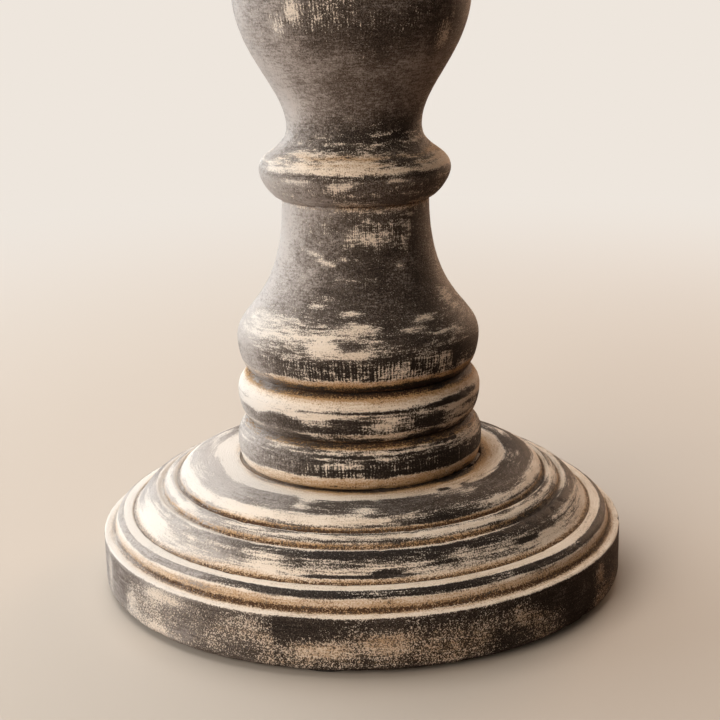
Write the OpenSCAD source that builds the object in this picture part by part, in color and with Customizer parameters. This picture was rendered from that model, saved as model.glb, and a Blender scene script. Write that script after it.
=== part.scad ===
// Turned wooden pillar candlestick: moulded round base, baluster stem and candle dish,
// with a steel drip pan on a pricket and felt pads underneath. Millimetres, +Z up.

/* [Base] */
// Diameter of the plinth
base_diameter = 150; // [140:1:170]
// Height of the plinth side, from its underside to the arris
plinth_height = 15; // [12:0.5:20]
// Rounding of the plinth's bottom edge
foot_round = 2.2; // [1:0.1:4]
// Rounding of turned arrises
arris_round = 0.6; // [0.3:0.1:1]
// Width of the flat ledge inside the arris
ledge_width = 2.3; // [1.5:0.1:4]
// Width of the ring moulding that stands on the ledge
ring_width = 6.3; // [5:0.1:8]
// Rise of the ring moulding
ring_rise = 5; // [4:0.1:7]
// Width of the ogee slope above the ring
slope_width = 7.35; // [6:0.05:9]
// Rise of the ogee slope
slope_rise = 6.4; // [5:0.1:8]
// Width of each turned groove
groove_width = 2; // [1.5:0.1:2.6]
// Depth of each turned groove below its outer lip
groove_depth = 0.7; // [0.4:0.05:1.2]
// Step up across each groove
groove_step = 1; // [0.6:0.05:1.6]
// Width of the band between the two grooves
band_width = 2.7; // [2:0.1:4]
// Rise of the band between the two grooves
band_rise = 1.6; // [1:0.1:2.4]
// Rise of the crowned top from the inner groove to the stem
crown_rise = 3.5; // [2.5:0.1:5]

/* [Stem foot] */
// Largest radius of the lower bead
low_bead_radius = 35.2; // [34.5:0.1:36.5]
// Height of the lower bead
low_bead_height = 12.4; // [11:0.1:14]
// Largest radius of the upper bead
high_bead_radius = 34.7; // [34:0.1:36]
// Height of the upper bead
high_bead_height = 13.8; // [12:0.1:16]
// Radius at the bottom of the cut between the two beads
low_cut_radius = 30.8; // [29.5:0.1:32]
// Radius at the bottom of the cut under the bell
high_cut_radius = 29.9; // [28.5:0.1:31]
// How far the lower bead's foot stands in from its widest point
foot_inset = 1.7; // [1:0.1:3]

/* [Bell and collar] */
// Largest radius of the bell
bell_radius = 34.4; // [33.5:0.1:36]
// Height from the cut under the bell to its widest point
bell_belly = 9.8; // [8:0.1:12]
// Height from the bell's widest point to the neck under the collar
bell_sweep = 38.8; // [34:0.1:46]
// Radius of the neck under the collar
neck_radius = 20.6; // [19.5:0.1:22]
// Largest radius of the collar
collar_radius = 26.7; // [25:0.1:29]
// Height from the neck to the collar's widest point
collar_rise = 8; // [7:0.1:10]
// Height from the collar's widest point to the throat
throat_rise = 11.7; // [10:0.1:14]
// Radius of the throat above the collar
throat_radius = 18.7; // [17.5:0.1:20]

/* [Urn and upper stem] */
// Largest radius of the urn
urn_radius = 32.5; // [31:0.1:35]
// Height from the throat to the urn's widest point
urn_rise = 37; // [33:0.5:42]
// Height of the urn's shoulder
shoulder_rise = 21; // [18:0.5:25]
// Radius where the shoulder meets the small ring
shoulder_radius = 17.5; // [16:0.5:19]
// Radius of the small ring above the shoulder
top_ring_radius = 20.5; // [19.5:0.5:23]
// Height of the small ring
top_ring_height = 7; // [6:0.5:9]
// Radius of the slender neck
slender_radius = 13.5; // [12.5:0.5:15]
// Height of the flare that carries the dish
flare_rise = 50; // [42:1:60]
// Radius of the stem where the dish sits on it
seat_radius = 29; // [26:0.5:32]

/* [Candle dish] */
// Diameter of the dish over its rim
dish_diameter = 110; // [104:1:120]
// Height of the dish
dish_height = 22; // [20:0.5:26]
// Depth of the hollow in the dish
dish_depth = 10; // [9:0.5:12]
// Wall thickness at the rim
rim_wall = 5.5; // [4.5:0.5:7]
// Reach of the rounding over the rim
rim_round = 3; // [2.5:0.1:3.2]

/* [Drip pan and pricket] */
// Thickness of the pan's sheet steel
pan_sheet = 1; // [0.8:0.1:1.5]
// Height of the pan
pan_height = 8.5; // [7.5:0.5:10]
// How far the pan's wall leans out from its floor
pan_flare = 4.5; // [3.5:0.5:6]
// Gap between the pan's rim and the dish
pan_gap = 0.8; // [0.5:0.1:2]
// Radius of the spike's straight part
spike_radius = 2.5; // [2:0.25:3.5]
// Length of the spike's straight part
spike_straight = 18; // [14:1:24]
// Length of the spike's point
spike_point = 12; // [8:1:16]
// Radius of the collar that clamps the pan
clamp_radius = 7; // [6:0.5:9]
// Height of that collar
clamp_height = 2.5; // [2:0.5:4]

/* [Fixings] */
// Radius of the spigots turned on both ends of the stem
spigot_radius = 12; // [10:0.5:14]
// Length of the lower spigot
low_spigot = 12; // [10:0.5:14]
// Length of the upper spigot
high_spigot = 8; // [6:0.5:9]
// Glue gap round each spigot and at its end
glue_gap = 0.1; // [0.05:0.05:0.3]
// Shank radius of the base screw and the pricket
shank_radius = 3; // [2.5:0.25:3.5]
// Depth of the recess for the screw head
head_recess = 10; // [9:0.5:11]
// Radius of the recess for the screw head
recess_radius = 10; // [9.5:0.5:12]
// Height of the hexagonal screw head
head_height = 4.2; // [3.5:0.1:5]
// Radius of the screw head over its corners
head_radius = 5.8; // [5:0.1:6.5]
// Length of the points on screw and pricket
tip_length = 5; // [3:0.5:7]
// Thickness of the washer under the screw head
washer_sheet = 1.5; // [1:0.1:2]
// Depth to which screw and pricket reach into the stem
screw_reach = 30; // [24:1:36]

/* [Felt pads] */
// Number of felt pads
pad_count = 4; // [3:1:6]
// Thickness of a pad
pad_sheet = 1.2; // [1:0.1:2.5]
// Radius of a pad
pad_radius = 11; // [8:0.5:13]
// Turn of the first pad from the front, to the left
pad_turn = 8; // [0:1:40]
// Distance of the pads from the rounding of the plinth's bottom edge
pad_inset = 1; // [0:0.5:6]

/* [Hidden] */

$fn = 96;

charcoal = [0.20, 0.18, 0.17];
steel = [0.62, 0.62, 0.60];
black_iron = [0.14, 0.13, 0.13];
felt = [0.10, 0.10, 0.10];

// Heights of the base, from the table up
underside_z = pad_sheet;
ledge_z = underside_z + plinth_height;
ring_z = ledge_z + ring_rise;
lip_z = ring_z + slope_rise;
band_z = lip_z + groove_step;
band_top_z = band_z + band_rise;
crown_z = band_top_z + groove_step;
foot_z = crown_z + crown_rise;

// Radii of the base, from the arris inwards
arris_r = base_diameter / 2;
ring_r = arris_r - ledge_width;
slope_r = ring_r - ring_width;
lip_r = slope_r - slope_width;
band_r = lip_r - groove_width;
band_in_r = band_r - band_width;
crown_r = band_in_r - groove_width;
foot_r = low_bead_radius - foot_inset;

// Heights of the stem
cut_low_z = foot_z + low_bead_height;
cut_high_z = cut_low_z + high_bead_height;
bell_z = cut_high_z + bell_belly;
neck_z = bell_z + bell_sweep;
collar_z = neck_z + collar_rise;
throat_z = collar_z + throat_rise;
urn_z = throat_z + urn_rise;
shoulder_z = urn_z + shoulder_rise;
top_ring_z = shoulder_z + top_ring_height;
seat_z = top_ring_z + flare_rise;

// Dish, pan and pricket
rim_r = dish_diameter / 2;
rim_z = seat_z + dish_height;
hollow_z = rim_z - dish_depth;
hollow_r = rim_r - rim_wall;
pan_r = hollow_r - pan_gap;
pan_floor_r = pan_r - pan_flare;
pan_z = hollow_z + pan_sheet;
clamp_z = pan_z + clamp_height;
spike_z = clamp_z + spike_straight;
tip_z = spike_z + spike_point;

// Fixings
spigot_z = foot_z - low_spigot;
spigot_top_z = seat_z + high_spigot;
recess_z = underside_z + head_recess;
head_z = recess_z - washer_sheet;
hole_radius = shank_radius + 0.2;
washer_radius = recess_radius - 0.5;
screw_tip_z = spigot_z + screw_reach;
pricket_tip_z = spigot_top_z - screw_reach;
chamfer = 0.8;
tip_radius = 0.4;

// How far a cut runs past the face that it opens
past = 1;

// Curve from a to d drawn towards the handles b and c; the first point is left to the piece before
function sweep(a, b, c, d, n = 12) =
    [for (i = [1:n]) let (t = i / n, s = 1 - t)
        s * s * s * a + 3 * s * s * t * b + 3 * s * t * t * c + t * t * t * d];

// Quarter round that leaves a level and reaches b upright
function swell(a, b, k, n = 12) =
    sweep(a, [a.x + k * (b.x - a.x), a.y], [b.x, b.y - k * (b.y - a.y)], b, n);

// Quarter round that leaves a upright and reaches b level
function fold(a, b, k, n = 12) =
    sweep(a, [a.x, a.y + k * (b.y - a.y)], [b.x + k * (a.x - b.x), b.y], b, n);

// S-curve, upright at both ends, that stays by each end for a share of the rise
function ogee(a, b, share_a, share_b, n = 24) =
    sweep(a, [a.x, a.y + share_a * (b.y - a.y)], [b.x, b.y - share_b * (b.y - a.y)], b, n);

// Bead between two cuts, widest at its middle point
function bead(low, mid, high, k) = concat(swell(low, mid, k), fold(mid, high, k));

// Turned groove from its outer lip to the foot of the next band
function groove(lip, next) =
    [lip + [-0.48 * groove_width, -groove_depth], [next.x + 0.22 * groove_width, lip.y], next];

// Step inwards and up, in shares of the ring moulding's width and rise
function on_ring(inwards, up) = [-inwards * ring_width, up * ring_rise];

function base_outline() =
    let (
        ring = [ring_r, ledge_z + 0.1],
        cove = ring + on_ring(0.24, 0.6),
        crest = ring + on_ring(0.6, 0.94),
        quirk = 0.25
    )
    concat(
        [[0, underside_z], [arris_r - foot_round, underside_z]],
        swell([arris_r - foot_round, underside_z], [arris_r, underside_z + foot_round], 0.55, 8),
        [[arris_r, ledge_z - arris_round]],
        fold([arris_r, ledge_z - arris_round], [arris_r - arris_round, ledge_z], 0.55, 5),
        [ring],
        sweep(ring, ring + on_ring(0.17, 0.04), cove - on_ring(0.11, 0.22), cove),
        sweep(cove, cove + on_ring(0.05, 0.18), crest - on_ring(0.17, 0.04), crest),
        sweep(crest, crest + on_ring(0.14, 0.04), ring + on_ring(0.87, 1), [slope_r + quirk, ring_z], 8),
        [[slope_r, ring_z - 1.5 * quirk], [slope_r - quirk, ring_z]],
        sweep([slope_r - quirk, ring_z], [slope_r - 0.28 * slope_width, ring_z + 0.16 * slope_rise],
            [lip_r + 0.48 * slope_width, lip_z - 0.02 * slope_rise], [lip_r, lip_z], 20),
        groove([lip_r, lip_z], [band_r, band_z]),
        sweep([band_r, band_z], [band_r - 0.15 * band_width, band_z + 0.5 * band_rise],
            [band_in_r + 0.4 * band_width, band_top_z - 0.12 * band_rise], [band_in_r, band_top_z], 8),
        groove([band_in_r, band_top_z], [crown_r, crown_z]),
        sweep([crown_r, crown_z], [crown_r - 0.7 * crown_rise, foot_z],
            [crown_r - 2.6 * crown_rise, foot_z + 0.1 * crown_rise], [foot_r, foot_z], 20),
        [[0, foot_z]]
    );

function stem_outline() =
    let (
        bead_k = 0.52,
        foot = [foot_r, foot_z],
        cut_low = [low_cut_radius, cut_low_z],
        cut_high = [high_cut_radius, cut_high_z],
        bell = [bell_radius, bell_z],
        neck = [neck_radius, neck_z],
        collar = [collar_radius, collar_z],
        throat = [throat_radius, throat_z],
        urn = [urn_radius, urn_z],
        shoulder = [shoulder_radius, shoulder_z],
        ring = [top_ring_radius, shoulder_z + top_ring_height / 2],
        slender = [slender_radius, top_ring_z],
        ring_step = [1.5, 0],
        seat = [seat_radius, seat_z],
        seat_edge = [0, 1.5]
    )
    concat(
        [[0, spigot_z], [spigot_radius - chamfer, spigot_z], [spigot_radius, spigot_z + chamfer],
         [spigot_radius, foot_z], foot],
        bead(foot, [low_bead_radius, foot_z + 0.53 * low_bead_height], cut_low, bead_k),
        bead(cut_low, [high_bead_radius, cut_low_z + 0.62 * high_bead_height], cut_high, bead_k),
        swell(cut_high, bell, bead_k),
        ogee(bell, neck, 0.23, 0.75, 36),
        swell(neck, collar, 0.36),
        ogee(collar, throat, 0.48, 0.55),
        ogee(throat, urn, 0.3, 0.47, 36),
        fold(urn, shoulder, 0.6, 24),
        bead(shoulder, ring, slender + ring_step, 0.55),
        [slender],
        sweep(slender, slender + [-0.016, 0.55] * flare_rise, seat - [0.18, 0.18] * flare_rise,
            seat - seat_edge, 28),
        [seat, [spigot_radius, seat_z], [spigot_radius, spigot_top_z - chamfer],
         [spigot_radius - chamfer, spigot_top_z], [0, spigot_top_z]]
    );

function dish_outline() =
    let (
        fillet = [seat_radius + 2, seat_z + 1.5],
        brim = [rim_r - rim_round, rim_z - 3 * rim_round],
        edge = [rim_r, rim_z - 1.5 * rim_round],
        crest = [rim_r - rim_round, rim_z],
        cove = 2
    )
    concat(
        [[0, seat_z], [fillet.x, seat_z], fillet],
        sweep(fillet, fillet + [8, 0], brim - [5, 6], brim, 20),
        swell(brim, edge, 0.55),
        fold(edge, crest, 0.55),
        [[hollow_r + arris_round, rim_z]],
        fold([hollow_r + arris_round, rim_z], [hollow_r, rim_z - arris_round], 0.45, 5),
        [[hollow_r, hollow_z + cove]],
        fold([hollow_r, hollow_z + cove], [hollow_r - cove, hollow_z], 0.55, 8),
        [[0, hollow_z]]
    );

function pan_outline() =
    let (
        bend = 1.6,
        roll = 1.2,
        floor = [pan_floor_r, hollow_z],
        inner = floor + [-bend / 3, pan_sheet],
        lip = [pan_r, hollow_z + pan_height],
        inner_lip = lip - [pan_sheet + roll / 2, 0]
    )
    concat(
        [[hole_radius, floor.y], floor - [bend, 0]],
        sweep(floor - [bend, 0], floor - [bend / 3, 0], floor + [bend / 5, bend / 3],
            floor + [bend / 2, bend], 8),
        [lip - [roll / 2, roll]],
        sweep(lip - [roll / 2, roll], lip - [0, roll], lip, lip - [2 * roll / 3, 0], 8),
        sweep(lip - [2 * roll / 3, 0], lip - [roll, 0], inner_lip - [0, roll / 2],
            inner_lip - [0, roll], 8),
        [inner + [bend / 3, bend]],
        sweep(inner + [bend / 3, bend], inner + [0, bend / 3], inner - [bend / 3, 0],
            inner - [bend, 0], 8),
        [[hole_radius, inner.y]]
    );

module turned(outline) {
    rotate_extrude()
        polygon(outline);
}

module bore(radius, from_z, to_z) {
    translate([0, 0, from_z])
        cylinder(r = radius, h = to_z - from_z);
}

module base() {
    color(charcoal)
    difference() {
        turned(base_outline());
        bore(recess_radius, underside_z - past, recess_z);
        bore(hole_radius, recess_z - past, spigot_z);
        bore(spigot_radius + glue_gap, spigot_z - glue_gap, foot_z + past);
    }
}

module base_washer() {
    color(steel)
    difference() {
        bore(washer_radius, head_z, recess_z);
        bore(hole_radius, head_z - past, recess_z + past);
    }
}

// Hexagonal head below the washer, plain shank ending in a cone
module base_screw() {
    color(steel) {
        translate([0, 0, head_z - head_height])
            cylinder(r = head_radius, h = head_height, $fn = 6);
        bore(shank_radius, head_z, screw_tip_z - tip_length);
        translate([0, 0, screw_tip_z - tip_length])
            cylinder(r1 = shank_radius, r2 = tip_radius, h = tip_length);
    }
}

module stem() {
    color(charcoal)
    difference() {
        turned(stem_outline());
        bore(shank_radius, spigot_z - past, screw_tip_z);
        bore(shank_radius, pricket_tip_z, spigot_top_z + past);
    }
}

module candle_dish() {
    color(charcoal)
    difference() {
        turned(dish_outline());
        bore(spigot_radius + glue_gap, seat_z - past, spigot_top_z + glue_gap);
        bore(hole_radius, spigot_top_z, hollow_z + past);
    }
}

module drip_pan() {
    color(black_iron)
        turned(pan_outline());
}

// Spike above the clamping collar, plain shank below it
module pricket() {
    color(black_iron)
        turned([
            [0, pricket_tip_z],
            [tip_radius, pricket_tip_z],
            [shank_radius, pricket_tip_z + tip_length],
            [shank_radius, pan_z],
            [clamp_radius, pan_z],
            [clamp_radius, clamp_z - chamfer],
            [clamp_radius - chamfer, clamp_z],
            [spike_radius, clamp_z],
            [spike_radius, spike_z],
            [tip_radius, tip_z],
            [0, tip_z]
        ]);
}

module felt_pad(i) {
    ring = arris_r - foot_round - pad_radius - pad_inset;
    angle = -90 - pad_turn + (i - 1) * 360 / pad_count;
    color(felt)
    rotate(angle)
    translate([ring, 0, 0])
        cylinder(r = pad_radius, h = pad_sheet);
}

base();
base_washer();
base_screw();
stem();
candle_dish();
drip_pan();
pricket();
for (i = [1:pad_count]) {
    felt_pad(i);
}
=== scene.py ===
"""Finishes the turned candlestick: re-turned wooden pieces in rubbed paint, iron pan and spike, felt."""
import math

import bpy
import numpy as np
from bpy.props import FloatProperty, FloatVectorProperty, IntProperty, PointerProperty
from mathutils import Euler, Matrix, Vector


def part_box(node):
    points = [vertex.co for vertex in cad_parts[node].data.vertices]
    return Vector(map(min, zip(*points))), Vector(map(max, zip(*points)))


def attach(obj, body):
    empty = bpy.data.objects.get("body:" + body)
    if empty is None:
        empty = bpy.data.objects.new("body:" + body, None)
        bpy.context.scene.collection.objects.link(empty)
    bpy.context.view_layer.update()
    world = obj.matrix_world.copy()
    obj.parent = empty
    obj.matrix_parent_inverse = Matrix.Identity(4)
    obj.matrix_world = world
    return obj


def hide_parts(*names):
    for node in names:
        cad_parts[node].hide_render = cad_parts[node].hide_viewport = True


bl_info = {
    "name": "Turned candlestick",
    "version": (1, 0, 0),
    "blender": (4, 5, 0),
    "location": "View3D > Sidebar > Candlestick",
    "description": "Turns the candlestick's pieces from their outlines and gives them their finish",
    "category": "Object",
}

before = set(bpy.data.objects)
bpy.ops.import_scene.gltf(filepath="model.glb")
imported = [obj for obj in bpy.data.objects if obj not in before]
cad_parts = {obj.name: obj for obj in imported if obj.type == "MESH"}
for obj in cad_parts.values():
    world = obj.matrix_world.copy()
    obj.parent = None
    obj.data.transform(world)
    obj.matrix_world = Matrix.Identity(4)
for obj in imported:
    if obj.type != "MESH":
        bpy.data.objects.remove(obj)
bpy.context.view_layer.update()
MM = 0.001

# Nearer to the axis than this nothing of the wood shows
BASE_SOCKET = 13 * MM
STEM_SPIGOT = 12.1 * MM
DISH_SOCKET = 12.2 * MM

# Points this near to a piece's lowest plane, widest ring or top count as lying on it
COARSE_TOUCH = 0.1 * MM
FINE_TOUCH = 0.01 * MM

# Metal is truer than wood, so it has this share of the lathe's faults
METAL_FAULTS = 0.4

# Distance between rings on a felt pad
FELT_STEP = 0.4 * MM

# Two boards of the base meet on this line, left of the axis; near it the paint on the plinth's side differs
GLUE_LINE = -22.6 * MM
GLUE_REACH = 16 * MM
PLINTH_TOP = (15.5 * MM, 16.2 * MM)

# Teeth that the comb leaves round a piece
COMB_TEETH = 232.0


def tone(red, green, blue):
    """Linear colour of a paint swatch given in 0 to 255 screen values."""
    channels = (red / 255, green / 255, blue / 255)
    return tuple(c / 12.92 if c <= 0.04045 else ((c + 0.055) / 1.055) ** 2.4 for c in channels)


def swatch(name, description, colour):
    """Colour property with a paint swatch as its default."""
    return FloatVectorProperty(
        name=name, description=description, default=colour, size=3, subtype="COLOR", min=0, max=1)


def length(name, description, default):
    """Length property in metres."""
    return FloatProperty(name=name, description=description, default=default, unit="LENGTH", precision=5)


def angle(name, description, degrees):
    """Angle property with its default in degrees."""
    return FloatProperty(
        name=name, description=description, default=math.radians(degrees), subtype="ANGLE")


def number(name, description, default):
    """Whole number property."""
    return IntProperty(name=name, description=description, default=default)


class TurningSettings(bpy.types.PropertyGroup):
    """Sizes of the turned surface."""

    base_segments: number("Base segments", "Faces round the base", 432)
    stem_segments: number("Stem segments", "Faces round the stem", 184)
    dish_segments: number("Dish segments", "Faces round dish and pan", 256)
    pricket_segments: number("Pricket segments", "Faces round the spike", 64)
    felt_segments: number("Felt segments", "Faces round a felt pad", 72)
    base_step: length("Base step", "Distance between rings on the base", 0.5 * MM)
    stem_step: length("Stem step", "Distance between rings on the stem", 0.6 * MM)
    dish_step: length("Dish step", "Distance between rings on dish, pan and spike", 0.7 * MM)
    hidden_step: length("Hidden step", "Distance between rings where nothing shows", 4.0 * MM)
    wobble: length("Wobble", "How far a piece is out of round", 0.15 * MM)
    ripple: length("Ripple", "Height of the tool marks round a piece", 0.035 * MM)
    chip: length("Chip", "Depth of the knocks on crisp edges", 0.42 * MM)


class FinishSettings(bpy.types.PropertyGroup):
    """Colours of the finishes."""

    cream: swatch("Cream", "Undercoat where the paint is rubbed off", tone(234, 221, 206))
    stain: swatch("Stain", "Undercoat where it is stained", tone(210, 190, 166))
    ochre: swatch("Ochre", "Glaze that stays in hollows", tone(184, 148, 106))
    # Umber also paints the shade in deep grooves and cuts
    umber: swatch("Umber", "Dirt at the bottom of grooves", tone(70, 47, 30))
    # The pale haze over the undercoat is dust, and painted sheen on upward faces and on the side the light
    # falls on most
    haze_of_dust_and_sheen: swatch("Haze", "Dusty film over the undercoat", tone(216, 212, 208))
    charcoal: swatch("Charcoal", "Dark top paint", tone(30, 24, 20))
    slate: swatch("Slate", "Dark paint where it is thin", tone(96, 85, 77))
    # Dust, and painted sheen on upward faces and on the side the light falls on most
    dust_and_sheen: swatch("Dust", "Dusty film over the dark paint", tone(194, 187, 183))
    fleck: swatch("Fleck", "Undercoat that shows through in flecks", tone(176, 155, 132))
    iron: swatch("Iron", "Blackened steel", tone(46, 43, 41))
    worn_iron: swatch("Worn iron", "Steel where the black is worn", tone(92, 87, 82))
    zinc: swatch("Zinc", "Plated fixings", tone(170, 170, 165))
    dull_zinc: swatch("Dull zinc", "Plating where it has clouded", tone(128, 127, 122))
    felt: swatch("Felt", "Felt pads", tone(38, 36, 35))
    nap: swatch("Nap", "Raised fibres of the felt", tone(70, 67, 64))


class StageSettings(bpy.types.PropertyGroup):
    """Camera, floor and light."""

    distance: length("Distance", "Camera's distance in front of the axis", 0.405)
    height: length("Height", "Camera's height above the floor", 0.1685)
    pitch: angle("Pitch", "How far the camera looks down", 14.72)
    yaw: angle("Yaw", "How far the camera looks to the right", 0.06)
    roll: angle("Roll", "Camera's lean to the right", -1.1)
    lens: FloatProperty(name="Lens", description="Focal length", default=72.8, unit="CAMERA")
    floor_reach: length("Floor reach", "Distance from the axis to the floor's sides", 6.0)
    floor: swatch("Floor", "Pale floor", tone(190, 180, 169))
    bounce: swatch("Bounce", "Light the floor throws back on the piece", tone(112, 86, 66))
    backdrop: swatch("Backdrop", "Plain backdrop", tone(238, 230, 221))
    daylight: swatch("Daylight", "Soft light all round", tone(255, 236, 214))
    daylight_strength: FloatProperty(
        name="Daylight strength", description="Strength of the soft light all round", default=0.1, min=0)


class Value:
    """A node socket that adds Math nodes when Python arithmetic is done with it."""

    def __init__(self, graph, socket):
        self.graph = graph
        self.socket = socket

    def math(self, operation, *others):
        return self.graph.math(operation, self, *others)

    def __add__(self, other):
        return self.math("ADD", other)

    __radd__ = __add__

    def __sub__(self, other):
        return self.math("SUBTRACT", other)

    def __rsub__(self, other):
        return self.graph.math("SUBTRACT", other, self)

    def __mul__(self, other):
        return self.math("MULTIPLY", other)

    __rmul__ = __mul__

    def __truediv__(self, other):
        return self.math("DIVIDE", other)


class Graph:
    """Builds a shader or geometry tree node by node."""

    def __init__(self, tree):
        self.tree = tree

    def node(self, kind, inputs=None, output=0, **settings):
        """One node of a type, with its settings set first, then its sockets' values or links."""
        made = self.tree.nodes.new(kind)
        for name, value in settings.items():
            setattr(made, name, value)
        for key, value in (inputs or {}).items():
            if isinstance(value, Value):
                self.tree.links.new(value.socket, made.inputs[key])
            else:
                made.inputs[key].default_value = value
        return Value(self, made.outputs[output]) if len(made.outputs) else made

    def math(self, operation, *values):
        return self.node("ShaderNodeMath", dict(enumerate(values)), operation=operation)

    def vector_math(self, operation, *values):
        return self.node("ShaderNodeVectorMath", dict(enumerate(values)), operation=operation)

    def vector(self, x, y, z):
        return self.node("ShaderNodeCombineXYZ", {"X": x, "Y": y, "Z": z})

    def split(self, vector):
        """The three parts of a vector."""
        made = self.node("ShaderNodeSeparateXYZ", {"Vector": vector}).socket.node
        return [Value(self, socket) for socket in made.outputs]

    def step(self, value, low, high, to_low=0.0, to_high=1.0):
        """Smooth rise from one value to another between two limits."""
        sockets = {"Value": value, "From Min": low, "From Max": high, "To Min": to_low, "To Max": to_high}
        return self.node("ShaderNodeMapRange", sockets, interpolation_type="SMOOTHSTEP")

    def noise(self, vector, scale=1.0, detail=2.0, roughness=0.5, distortion=0.0):
        """Noise spread evenly about zero."""
        sockets = {"Vector": vector, "Scale": scale, "Detail": detail,
                   "Roughness": roughness, "Distortion": distortion}
        return self.node("ShaderNodeTexNoise", sockets) - 0.5


# Sockets of a Mix node that blends colours
MIX_SHARE, MIX_FIRST, MIX_SECOND, MIX_RESULT = 0, 6, 7, 2


class Paint(Graph):
    """Shader tree of one material, with its surface shader at hand."""

    def __init__(self, name):
        self.material = bpy.data.materials.new(name)
        self.material.use_nodes = True
        super().__init__(self.material.node_tree)
        self.surface = self.tree.nodes["Principled BSDF"]
        self.place = self.node("ShaderNodeTexCoord", output="Object")
        self.colours = bpy.context.scene.candle_finish

    def attribute(self, name):
        return self.node("ShaderNodeAttribute", output="Fac", attribute_name=name)

    def mix(self, share, first, second):
        """Blend of two colours, each a swatch or a node's colour."""
        first, second = [side if isinstance(side, Value) else (*side, 1.0) for side in (first, second)]
        sockets = {MIX_SHARE: share, MIX_FIRST: first, MIX_SECOND: second}
        return self.node("ShaderNodeMix", sockets, MIX_RESULT, data_type="RGBA")

    def layered(self, ground, *layers):
        """A ground colour with layers laid over it in turn, each a share and a colour."""
        for share, colour in layers:
            ground = self.mix(share, ground, colour)
        return ground

    def finish(self, colour, roughness, relief, depth, metallic=0.0):
        """Feeds the surface shader; relief is a height field and depth its scale in metres."""
        bump = self.node("ShaderNodeBump", {"Strength": 1.0, "Distance": depth, "Height": relief})
        for name, value in (("Base Color", colour), ("Roughness", roughness), ("Normal", bump)):
            self.tree.links.new(value.socket, self.surface.inputs[name])
        self.surface.inputs["Metallic"].default_value = metallic
        return self.material


# The finish in bands along a piece. Each entry holds a station in millimetres, the percentages
# of dark paint and ochre glaze, how far in millimetres the band's edge strays, and the percentages of comb
# marks and of dust with painted sheen. What is left out is zero, and a dust-and-sheen value below zero
# leaves the dark paint deeper.
BAND_COLUMNS = ("station", "dark", "ochre", "stray", "comb", "dust_and_sheen")

# On the base a station is the distance along the surface from the arris: negative down the plinth's side,
# positive over the mouldings towards the stem
BASE_BANDS = (
    # Underside and foot
    (-95, 60, 60, 0, 0, 30), (-16.5, 70, 60, 0, 0, 30), (-14.8, 95, 45, 0, 0, 20),
    (-13.6, 82, 60, 0.4, 0, 10),
    # Plinth's side
    (-12, 70, 75, 0.8), (-6, 70, 80, 1), (-2.4, 74, 60, 0.6), (-0.3, 88, 20, 0, 0, 10),
    # Arris and ledge
    (0.1, 62), (0.4, 0), (0.9, 2, 5), (1.5, 6, 35), (2.2, 16, 65, 0, 20),
    # Cove under the ring
    (3, 26, 85, 0, 30), (3.6, 36, 105, 0, 30), (4.2, 34, 85, 0, 30), (5, 30, 80, 0, 30),
    (5.8, 36, 60, 0.1, 20),
    # Ring
    (6.2, 50, 20, 0.2), (6.6, 88, 20, 0.2, 0, -15), (8.4, 88, 20, 0.3, 0, -15), (8.9, 5, 5, 0.2),
    (10.9, 2, 10),
    # Groove behind the ring
    (11.5, 16, 90, 0, 20), (12.2, 22, 90, 0, 20), (12.8, 8, 70), (13.4, 20, 40, 0.3),
    # Ogee slope
    (14.2, 50, 10, 0.6), (16.2, 58, 10, 0.9, 0, -15), (18.2, 66, 10, 0.9, 0, -15),
    (19.2, 84, 10, 0.6, 0, -15), (21.2, 88, 10, 0, 0, -15),
    # Lip and outer groove
    (21.7, 30), (22.1, 2), (23.1, 3, 10), (23.8, 30, 90, 0, 40), (24.4, 42, 120, 0, 40),
    (25, 45, 90, 0, 40),
    # Band between the grooves
    (25.4, 76, 30, 0.1), (25.9, 58, 10, 0.2), (26.6, 40, 10, 0.4), (27.4, 50, 10, 0.3), (28, 74, 10, 0.1),
    # Inner groove
    (28.5, 20, 10), (29.2, 16, 50, 0, 10), (30, 34, 100, 0, 40), (30.6, 42, 120, 0, 40),
    (31.2, 42, 90, 0, 40),
    # Crowned top
    (31.7, 66, 30, 0.1, 20), (32.2, 40, 10, 0.2), (33, 12, 10, 0.6), (34.2, 26, 10, 0.9),
    (36, 80, 10, 0.8, 0, 22), (42.2, 84, 10, 0.8, 0, 22), (43.6, 30, 10, 0.9),
    # Cove at the stem's foot, where dark paint and ochre rise towards the stem as a painted contact shadow
    (45, 8, 45, 0.5), (46.6, 14, 70, 0.4), (47.8, 30, 110, 0.4), (48.8, 62, 150, 0.4), (50, 85, 190),
    (70, 10, 40),
)

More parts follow.
